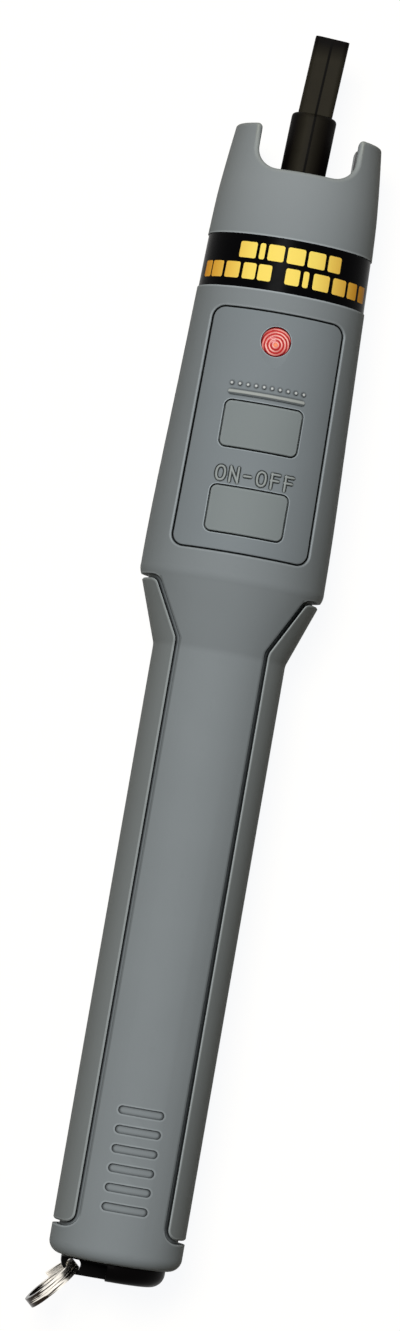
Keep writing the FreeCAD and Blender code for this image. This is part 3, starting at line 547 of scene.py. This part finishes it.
def steel(name, colour, across):
    """Bright steel whose drawn lines are thin noise, stretched along the way that it was worked."""
    finish = Finish(name, {"Metallic": 1.0, "Base Color": colour})
    lines = finish.node("Mapping", {}, {"Vector": finish.place, "Scale": across})
    grain = finish.node("TexNoise", {}, {"Vector": lines, "Scale": DRAWN_LINES, "Detail": 3.0})
    finish.feed("Roughness", 0.14 + 0.2 * grain)
    finish.rough(grain, 0.00002, 0.4)
    return finish


dress(steel("screw steel", tint(176, 176, 178), (1, 1, 0.1)), "shell_screws")
dress(steel("spring steel", tint(182, 180, 176), (0.1, 1, 0.1)), "battery_spring")


# ---- cells ---------------------------------------------------------------------------------------
# Two AA cells, end to end in the handle. Each is a drawn can in a printed sleeve, plain but for one bright
# band at the positive end.

BARE_RADIUS = 0.0068         # the sleeve is folded over each end as far in as this
FOOT_BARE, BAND_FROM, TOP_BARE = 0.01, 0.76, 0.96     # shares of the cell's length


def cell_jacket(name):
    """Dark blue sleeve with a copper-coloured band over the last quarter, and bare metal at both ends."""
    low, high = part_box(name)
    finish = Finish(name + " jacket", {"Coat Weight": 0.3, "Roughness": 0.3})
    x, y, z = finish.axes()
    along = (y - low.y) / (high.y - low.y)
    off_axis = (x ** 2 + z ** 2) ** 0.5
    bare = larger(off_axis < BARE_RADIUS, larger(along < FOOT_BARE, along > TOP_BARE))
    jacket = finish.mix(along > BAND_FROM, tint(28, 36, 78), tint(190, 120, 66))
    finish.feed("Base Color", finish.mix(bare, jacket, tint(200, 200, 202)))
    finish.feed("Metallic", bare)
    finish.rough(finish.noise(0.0008), 0.00003, 0.3)
    return finish


dress(cell_jacket("battery_rear"), "battery_rear")
dress(cell_jacket("battery_front"), "battery_front")


# ---- brass contacts ------------------------------------------------------------------------------
# Stamped from rolled brass strip, slightly dulled: the long strip down the handle, the plate that the front
# cell presses on, and the disc under the end cap's spring.

brass = Finish("contact brass", {"Metallic": 1.0})
tarnish = brass.noise(0.003, 3.0)
brass.feed("Base Color", brass.mix(tarnish, tint(205, 170, 98), tint(176, 138, 72)))
brass.feed("Roughness", 0.22 + 0.25 * tarnish)
brass.rough(brass.noise(0.0004), 0.00002, 0.3)
dress(brass, "front_contact", "contact_strip", "cap_contact")


# ---- circuit board and what stands on it ---------------------------------------------------------
# Glass-fibre board under green solder mask with copper tracks, a moulded driver chip, and two switches
# whose pale plungers the keys press.

TRACK_SWING = 0.0035         # how far the middle track winds to each side
TRACK_TURNS = 420.0          # radians of its wave for each metre of board
EDGE_TRACK_X = 0.0082
board = Finish("solder mask", {"Roughness": 0.35, "Coat Weight": 0.4})
x, y, _ = board.axes()
wave = board.node("Math", {"operation": "SINE"}, {0: y * TRACK_TURNS})
track = larger(line(x - TRACK_SWING * wave, 0.0004), line(abs(x) - EDGE_TRACK_X, 0.0005))
board.feed("Base Color", board.mix(track, tint(12, 74, 40), tint(36, 122, 62)))
board.rough(track, 0.00004, 0.5)
dress(board, "circuit_board")

epoxy = Finish("chip epoxy", {"Base Color": tint(28, 28, 29)})
pits = epoxy.noise(0.0002, 1.0)
epoxy.feed("Roughness", 0.5 + 0.3 * pits)
epoxy.rough(pits, 0.00003, 0.5)
dress(epoxy, "driver_chip", "mode_switch", "power_switch")

nylon = Finish("plunger nylon", {"Roughness": 0.4, "Subsurface Weight": 0.1})
milky = nylon.noise(0.001, 2.0)
nylon.feed("Base Color", nylon.mix(milky, tint(206, 203, 194), tint(222, 220, 212)))
nylon.rough(milky, 0.00002, 0.3)
dress(nylon, "mode_plunger", "power_plunger")


# ---- laser, lens and barrel ----------------------------------------------------------------------
# A gold-plated diode can, pressed into a turned brass barrel, with a small glass lens in front of it that
# gathers the light into the fibre.

gold = Finish("diode gold", {"Metallic": 1.0})
plating = gold.noise(0.0009, 2.0)
gold.feed("Base Color", gold.mix(plating, tint(226, 186, 110), tint(240, 205, 132)))
gold.feed("Roughness", 0.16 + 0.14 * plating)
gold.rough(plating, 0.00001, 0.3)
dress(gold, "laser_diode")

glass = Finish("lens glass", {"Base Color": tint(236, 242, 246), "Roughness": 0.02, "IOR": 1.52,
                              "Transmission Weight": 1.0, "Coat Weight": 0.3})
glass.rough(glass.noise(0.002), 0.000005, 0.1)
dress(glass, "focus_lens")


TURNED_RINGS = 1200.0        # scale of the wave that draws a cutter's rings


def turned(name, first, second):
    """Turned metal: fine rings across the axis from a wave along Y, broken up by noise."""
    finish = Finish(name, {"Metallic": 1.0})
    rings = finish.node("TexWave", {"bands_direction": "Y"},
                        {"Vector": finish.place, "Scale": TURNED_RINGS, "Distortion": 1.5, "Detail": 2.0}, 1)
    finish.feed("Base Color", finish.mix(rings, first, second))
    finish.feed("Roughness", 0.2 + 0.12 * rings)
    finish.rough(rings, 0.00001, 0.3)
    return finish


dress(turned("barrel brass", tint(182, 148, 84), tint(200, 166, 100)), "laser_housing")


# ---- fibre port ----------------------------------------------------------------------------------
# A turned and nickel-plated adapter fixed through the nose wall. The split sleeve of white zirconia that
# lines it grips the fibre's ferrule.

dress(turned("adapter nickel", tint(186, 186, 184), tint(204, 204, 202)), "port_adapter")

zirconia = Finish("sleeve zirconia", {"Roughness": 0.12, "Coat Weight": 0.4, "Subsurface Weight": 0.15})
veins = zirconia.noise(0.0015, 2.0)
zirconia.feed("Base Color", zirconia.mix(veins, tint(232, 230, 222), tint(244, 243, 238)))
zirconia.rough(veins, 0.00001, 0.2)
dress(zirconia, "ferrule_sleeve")


# ---- dust cap ------------------------------------------------------------------------------------
# Soft black rubber, moulded in two plates that leave a line down its middle. It is a little dusty. Its
# skirt is painted black down its flanks as shade, its edges are painted dark as shade, and its tab darkens
# towards the end.

SKIRT_LEAN = math.tan(math.radians(2.0))
TAB_LEAN = math.tan(math.radians(3.2))
TAB_FOOT_Y = 0.00525         # where the tab stands on the skirt
PIVOT_Y = -0.00495
LIGHT_RIDGE_X = -0.0013            # the lightest line of the skirt, from the seam, where its painted shade is least
LEFT_FLANK, RIGHT_FLANK = 0.0021, 0.0042              # from there to where each flank is painted fully black as shade
DARK_END = 0.0044            # length of the tab's end that is darkened
SEAM_HALF = 0.0003
_, cap_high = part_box("dust_cap")
rubber = Finish("dust cap rubber", {"IOR": 1.45, "Specular IOR Level": 0.04})
dust = rubber.noise(0.0035, 4.0)
x, y, _ = rubber.axes()
from_seam = x - SKIRT_LEAN * (y - PIVOT_Y) - (TAB_LEAN - SKIRT_LEAN) * larger(y - TAB_FOOT_Y, 0.0)
off_ridge = from_seam - LIGHT_RIDGE_X
# Painted shade down the skirt's flanks, and the tab darker towards its end.
flank_shade = smaller(larger(off_ridge / RIGHT_FLANK, off_ridge / -LEFT_FLANK), 1.0) * (y < TAB_FOOT_Y)
flank_shade_and_dark_end = larger(flank_shade, 1.35 * rising(y, cap_high.y - DARK_END, DARK_END))
plates = rubber.mix(flank_shade_and_dark_end, rubber.mix(dust, tint(34, 31, 24), tint(48, 45, 36)), tint(7, 5, 4))
# Painted shade along the edges.
edge_shaded = rubber.mix(rubber.edges(0.0008, 3.5), plates, tint(6, 4, 3))
rubber.feed("Base Color", rubber.mix(smaller(1.8 * line(from_seam, SEAM_HALF), 1.0), edge_shaded, tint(5, 4, 3)))
rubber.feed("Roughness", 0.48 + 0.2 * dust)
rubber.rough(rubber.noise(0.0003, 2.0), 0.00004, 0.4)
dress(rubber, "dust_cap")


# ---- end cap and its seal ------------------------------------------------------------------------
# The cap is moulded in glossy black plastic, with a lug for the ring, and is screwed into the base. A rubber
# ring seals its spigot.

THREAD_PITCH = 0.0009
THREAD_START = 0.0028        # up from the base
base_low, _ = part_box("outer_sleeve")
moulding = Finish("end cap black", {"Base Color": tint(6, 5, 5), "IOR": 1.5, "Specular IOR Level": 0.015})
scuffs = moulding.noise(0.002, 4.0)
moulding.feed("Roughness", 0.2 + 0.25 * scuffs)
_, y, _ = moulding.axes()
up_spigot = y - base_low.y
thread = moulding.node("Math", {"operation": "SINE"}, {0: up_spigot * (2 * math.pi / THREAD_PITCH)})
moulding.rough(scuffs * 0.1 + thread * (up_spigot > THREAD_START), 0.00015, 0.5)
dress(moulding, "end_cap")

nitrile = Finish("seal nitrile", {"Base Color": tint(24, 24, 25)})
bloom = nitrile.noise(0.0008, 2.0)
nitrile.feed("Roughness", 0.35 + 0.2 * bloom)
nitrile.rough(bloom, 0.00002, 0.3)
dress(nitrile, "end_cap_seal")


# ---- split ring ----------------------------------------------------------------------------------
# Flat spring steel wound in two turns and nickel plated, with the fine lines of its rolling. Its colour is
# painted with light and dark streaks of reflection, darker towards its far end. It is threaded through the
# hole in the end cap's lug, and swings there.

RING_HANGS = math.radians(228.0)       # which way its middle lies from the lug's hole, at rest
RING_LEANS = math.radians(-4.5)        # how far its axis leans out of the level
RING_RADIUS = 0.005215
STREAK_TURN = 1.5                      # length of a streak, in radians round the ring
STREAK_OUT, STREAK_OVER = 0.00038, 0.00032            # its width outwards and across the band
FAR_FROM, FAR_FADE = 0.0018, 0.0016    # from the ring's middle to where its painted reflections darken towards its far end
HOLE = Vector((-0.0073, -0.21365, 0.0))
hangs = Vector((math.cos(RING_HANGS), math.sin(RING_HANGS), 0.0))
ring_axis = Vector((math.sin(RING_HANGS) * math.cos(RING_LEANS), -math.cos(RING_HANGS) * math.cos(RING_LEANS),
                    -math.sin(RING_LEANS)))
nickel = Finish("ring nickel", {"Metallic": 1.0})
from_middle = nickel.node("VectorMath", {"operation": "SUBTRACT"},
                          {0: nickel.place, 1: HOLE + RING_RADIUS * hangs})
out, up, over = [nickel.node("VectorMath", {"operation": "DOT_PRODUCT"}, {0: from_middle, 1: way}, 1)
                 for way in (hangs, ring_axis.cross(hangs), ring_axis)]
turn = nickel.node("Math", {"operation": "ARCTAN2"}, {0: up, 1: out})
wound = nickel.node("CombineXYZ", {}, {"X": turn / STREAK_TURN, "Y": (out ** 2 + up ** 2) ** 0.5 / STREAK_OUT,
                                       "Z": over / STREAK_OVER})
streak_and_reflection = nickel.node("TexNoise", {}, {"Vector": wound, "Scale": 1.0, "Detail": 2.0})
far_end_darker = rising(out, FAR_FROM, FAR_FADE)
# Painted reflections: light and dark streaks round the ring, darker at its far end.
painted_reflection = rising(streak_and_reflection - 0.2 * far_end_darker, 0.40, 0.06)
nickel.feed("Base Color", nickel.mix(painted_reflection, tint(40, 33, 27), tint(246, 240, 229)))
nickel.feed("Roughness", 0.16 + 0.2 * streak_and_reflection)
nickel.rough(streak_and_reflection, 0.00003, 0.5)
dress(nickel, "split_ring")


# ---- floor, lights and camera --------------------------------------------------------------------
# The tester lies on its back on a pale floor, under one large soft light, seen from above. The floor looks
# white, but throws no more light back at the tester than a darker one would.

FLOOR_SIDE = 4.0
ROOM_GLOW = 0.03
WHITE = (1.0, 1.0, 1.0, 1.0)
whole_low, whole_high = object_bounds()


def seen_directly(nodes):
    """1 for what the camera, a reflection or a see-through piece shows, 0 for light that bounces."""
    camera, glossy, clear = [nodes.node("LightPath", {}, {}, ray) for ray in
                             ("Is Camera Ray", "Is Glossy Ray", "Is Transmission Ray")]
    return larger(larger(camera, glossy), clear)


paper = Finish("floor paper", {"Base Color": tint(88, 80, 62), "Roughness": 0.9, "Specular IOR Level": 0.0})
white = paper.node("Emission", {}, {"Color": (0.93, 0.938, 0.952, 1.0), "Strength": 1.0})
shadowed = paper.node("AddShader", {}, {0: paper.principled, 1: white})
bounced = paper.node("BsdfDiffuse", {}, {"Color": tint(112, 102, 78)})
paper.show(paper.node("MixShader", {}, {0: seen_directly(paper), 1: bounced, 2: shadowed}))
corners = FLOOR_SIDE / 2 * np.array([[-1, -1, 0], [1, -1, 0], [1, 1, 0], [-1, 1, 0]])
floor_mesh = bpy.data.meshes.new("floor")
floor_mesh.from_pydata((corners + [0, 0, whole_low.z]).tolist(), [], [[0, 1, 2, 3]])
floor_mesh.materials.append(paper.material)
floor = bpy.data.objects.new("floor", floor_mesh)
bpy.context.scene.collection.objects.link(floor)

world = bpy.data.worlds.new("studio")
world.use_nodes = True
bpy.context.scene.world = world
studio = Nodes(world.node_tree, "World")
glow = studio.node("Background", {}, {"Color": (1.0, 0.9, 0.7, 1.0), "Strength": ROOM_GLOW})
backdrop = studio.node("Background", {}, {"Color": WHITE, "Strength": 1.0})
studio.show(studio.node("MixShader", {}, {0: seen_directly(studio), 1: glow, 2: backdrop}))


def aimed(place, target, up):
    """Turn that looks from place to target along local -Z, with local +Y as near up as it can be."""
    back = (place - target).normalized()
    right = up.cross(back).normalized()
    turn = Matrix((right, back.cross(right), back)).transposed().to_4x4()
    return Matrix.Translation(place) @ turn


KEY_OFFSET = Vector((-0.32, 0.36, 1.70))              # from the tester's middle to the light
middle = Vector((0, (whole_low.y + whole_high.y) / 2, 0))
key_data = bpy.data.lights.new("key softbox", "AREA")
key_data.size = 0.6
key_data.energy = 30.0
key_light = bpy.data.objects.new("key softbox", key_data)
key_light.matrix_world = aimed(middle + KEY_OFFSET, middle, Vector((0, 1, 0)))
bpy.context.scene.collection.objects.link(key_light)

LEAN = math.radians(9.88)    # how far the tester leans to the right in the view
VIEW_HEIGHT = 0.2484         # height of the view at the tester's axis
eye = Vector((-0.0311, -0.1486, 1.150))
aim = Vector((-0.0032, -0.0999, 0.0))
camera_data = bpy.data.cameras.new("camera")
camera_data.sensor_fit = "VERTICAL"
camera_data.sensor_height = 24.0
camera_data.lens = camera_data.sensor_height * (eye - aim).length / VIEW_HEIGHT
camera_data.clip_start = 0.01
camera = bpy.data.objects.new("camera", camera_data)
camera.matrix_world = aimed(eye, aim, Vector((-math.sin(LEAN), math.cos(LEAN), 0)))
bpy.context.scene.collection.objects.link(camera)
bpy.context.scene.camera = camera
bpy.context.scene.view_settings.view_transform = "Standard"
